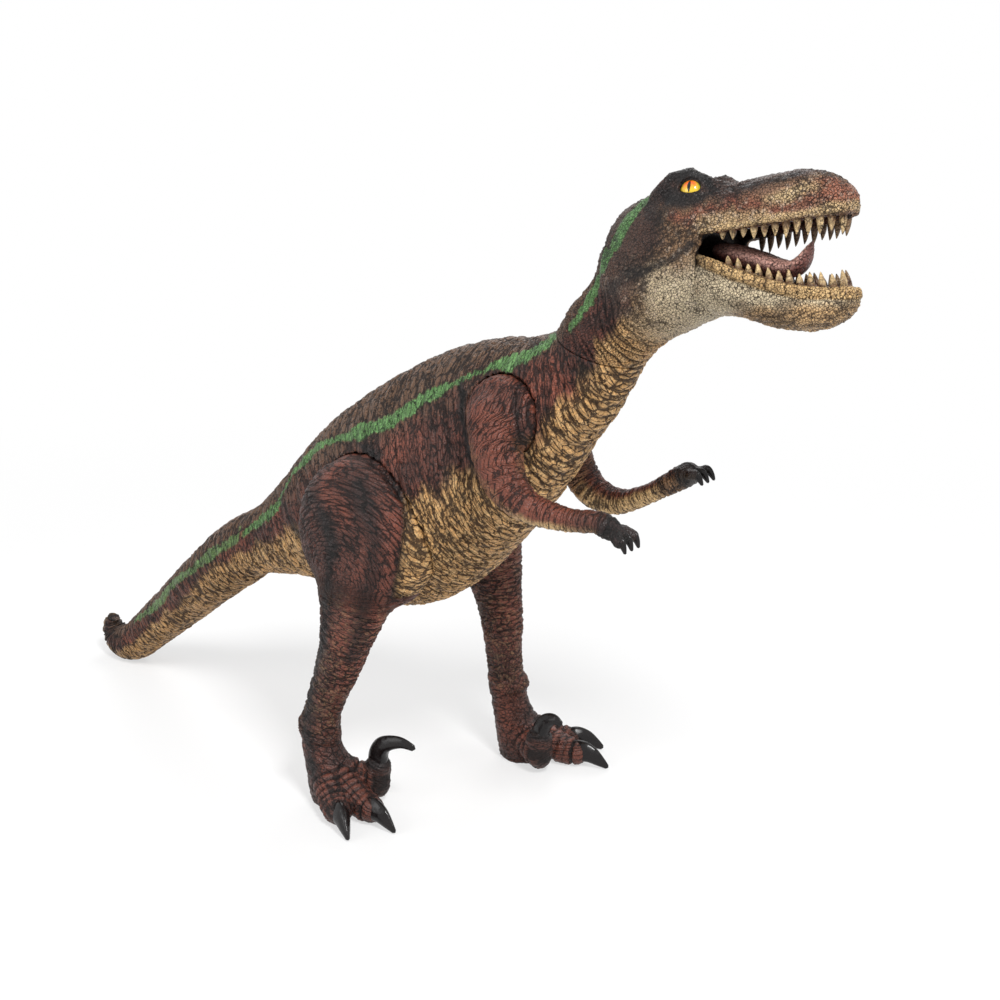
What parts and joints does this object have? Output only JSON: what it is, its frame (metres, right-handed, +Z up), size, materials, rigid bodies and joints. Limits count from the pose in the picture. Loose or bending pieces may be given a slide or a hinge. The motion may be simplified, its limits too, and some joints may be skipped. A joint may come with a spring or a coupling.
{
  "type": "toy dinosaur",
  "caption": "Standing raptor-like play dinosaur in painted soft vinyl, with swivelling neck, tail, arms and legs, open toothed jaws and curved claws.",
  "frame": {"origin": "on the ground, under the middle of the figure's box", "axes": "+X the way the figure faces, +Y its left side, +Z up"},
  "size_m": [0.6236, 0.1952, 0.4085],
  "materials": {
    "skin": "soft vinyl, painted, satin with a gloss on the raised scales",
    "jaw": "soft vinyl, painted, satin",
    "tongue": "soft vinyl, satin",
    "tooth": "satin, with a brown wash at the roots",
    "eye": "high gloss",
    "claw": "gloss black",
    "fitting": "unpainted moulding, out of sight"
  },
  "bodies": {
    "torso": {"torso_shell": "skin"},
    "tail": {"tail_shell": "skin", "tail_stud": "fitting", "tail_ring": "fitting"},
    "head": {"head_shell": "skin", "lower_jaw": "jaw", "tongue": "tongue", "upper_teeth": "tooth", "lower_teeth": "tooth", "right_eye": "eye", "left_eye": "eye", "neck_stud": "fitting", "neck_ring": "fitting"},
    "right_leg": {"right_leg_shell": "skin", "right_outer_toe_claw": "claw", "right_inner_toe_claw": "claw", "right_sickle_claw": "claw", "right_hip_stud": "fitting", "right_hip_ring": "fitting"},
    "right_arm": {"right_arm_shell": "skin", "right_inner_finger_claw": "claw", "right_middle_finger_claw": "claw", "right_outer_finger_claw": "claw", "right_shoulder_stud": "fitting", "right_shoulder_ring": "fitting"},
    "left_leg": {"left_leg_shell": "skin", "left_outer_toe_claw": "claw", "left_inner_toe_claw": "claw", "left_sickle_claw": "claw", "left_hip_stud": "fitting", "left_hip_ring": "fitting"},
    "left_arm": {"left_arm_shell": "skin", "left_inner_finger_claw": "claw", "left_middle_finger_claw": "claw", "left_outer_finger_claw": "claw", "left_shoulder_stud": "fitting", "left_shoulder_ring": "fitting"}
  },
  "joints": [
    {"name": "neck_swivel", "type": "hinge", "parent": "torso", "child": "head", "pos_m": [0.15729, -0.00312, 0.305], "axis": [0.309, 0, 0.9511], "range_deg": [-45, 45]},
    {"name": "tail_swivel", "type": "hinge", "parent": "torso", "child": "tail", "pos_m": [-0.12071, -0.00312, 0.133], "axis": [-0.9925, 0, -0.1219], "range_deg": [-30, 30]},
    {"name": "right_hip", "type": "hinge", "parent": "torso", "child": "right_leg", "pos_m": [0.01429, -0.03612, 0.177], "axis": [0, -1, 0], "range_deg": [-30, 30]},
    {"name": "left_hip", "type": "hinge", "parent": "torso", "child": "left_leg", "pos_m": [0.01429, 0.02988, 0.177], "axis": [0, -1, 0], "range_deg": [-30, 30]},
    {"name": "right_shoulder", "type": "hinge", "parent": "torso", "child": "right_arm", "pos_m": [0.11129, -0.02683, 0.26275], "axis": [0, -0.9877, 0.1564], "range_deg": [-15, 50]},
    {"name": "left_shoulder", "type": "hinge", "parent": "torso", "child": "left_arm", "pos_m": [0.11129, 0.02058, 0.25525], "axis": [0, -0.9877, 0.1564], "range_deg": [-15, 50]}
  ]
}
